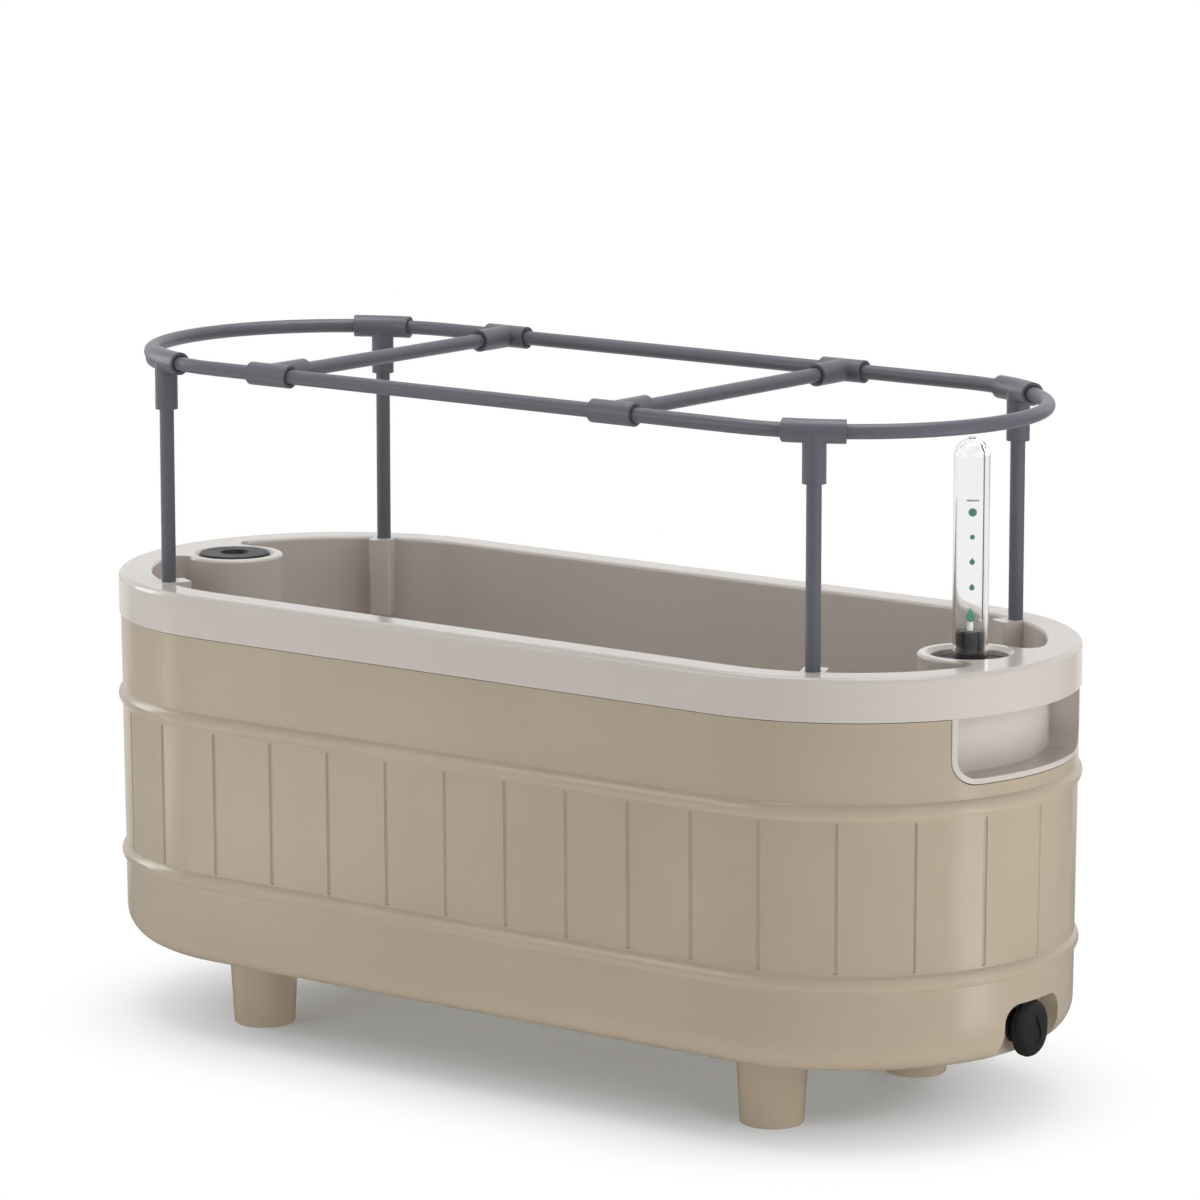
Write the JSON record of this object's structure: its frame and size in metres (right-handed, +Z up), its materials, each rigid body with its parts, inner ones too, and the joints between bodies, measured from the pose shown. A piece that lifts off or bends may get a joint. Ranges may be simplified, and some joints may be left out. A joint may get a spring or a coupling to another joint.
{
  "type": "self-watering herb planter",
  "caption": "Oblong round-ended planter on tapered feet with a lift-out liner, wick cups, float gauge, fill cap, drain plug and a plug-in support frame.",
  "frame": {"origin": "on the ground under the middle of the tub, where the feet stand", "axes": "+X along the length to the end with the drain and the gauge, +Z up, the front faces -Y"},
  "size_m": [0.604, 0.25, 0.3828],
  "materials": {
    "tub_plastic": "satin taupe",
    "liner_plastic": "glossy warm off-white",
    "frame_plastic": "satin slate grey",
    "black_plastic": "satin black",
    "black_rubber": "matt black",
    "clear_plastic": "clear, polished",
    "float_plastic": "white",
    "teal_plastic": "teal"
  },
  "bodies": {
    "tub": {"tub": "tub_plastic", "foot_front_left": "tub_plastic", "foot_front_right": "tub_plastic", "foot_back_left": "tub_plastic", "foot_back_right": "tub_plastic"},
    "drain_plug": {"drain_plug": "black_rubber", "drain_washer": "black_rubber"},
    "liner": {"liner": "liner_plastic", "wick_cup_left": "liner_plastic", "wick_cup_middle": "liner_plastic", "wick_cup_right": "liner_plastic"},
    "fill_cap": {"fill_cap": "black_plastic"},
    "gauge": {"gauge_flange": "black_plastic", "gauge_tube": "clear_plastic", "float_cage": "float_plastic"},
    "float": {"float": "float_plastic", "float_rod": "float_plastic", "level_pointer": "teal_plastic"},
    "support_frame": {"upright_front_left": "frame_plastic", "upright_front_right": "frame_plastic", "upright_back_left": "frame_plastic", "upright_back_right": "frame_plastic", "corner_tee_front_left": "frame_plastic", "corner_tee_front_right": "frame_plastic", "corner_tee_back_left": "frame_plastic", "corner_tee_back_right": "frame_plastic", "ring_end_left": "frame_plastic", "ring_end_right": "frame_plastic", "ring_side_front_left": "frame_plastic", "ring_side_front_right": "frame_plastic", "ring_side_back_left": "frame_plastic", "ring_side_back_right": "frame_plastic", "ring_middle_front": "frame_plastic", "ring_middle_back": "frame_plastic", "side_tee_front_left": "frame_plastic", "side_tee_front_right": "frame_plastic", "side_tee_back_left": "frame_plastic", "side_tee_back_right": "frame_plastic", "cross_bar_left": "frame_plastic", "cross_bar_right": "frame_plastic"}
  },
  "joints": [
    {"name": "liner_lift", "type": "slide", "parent": "tub", "child": "liner", "axis": [0, 0, 1], "range_m": [0, 0.22]},
    {"name": "frame_lift", "type": "slide", "parent": "liner", "child": "support_frame", "axis": [0, 0, 1], "range_m": [0, 0.16]},
    {"name": "gauge_lift", "type": "slide", "parent": "liner", "child": "gauge", "axis": [0, 0, 1], "range_m": [0, 0.215]},
    {"name": "float_rise", "type": "slide", "parent": "gauge", "child": "float", "axis": [0, 0, 1], "range_m": [0, 0.052]},
    {"name": "cap_lift", "type": "slide", "parent": "liner", "child": "fill_cap", "axis": [0, 0, 1], "range_m": [0, 0.03]},
    {"name": "plug_pull", "type": "slide", "parent": "tub", "child": "drain_plug", "axis": [1, 0, 0], "range_m": [0, 0.03]}
  ]
}
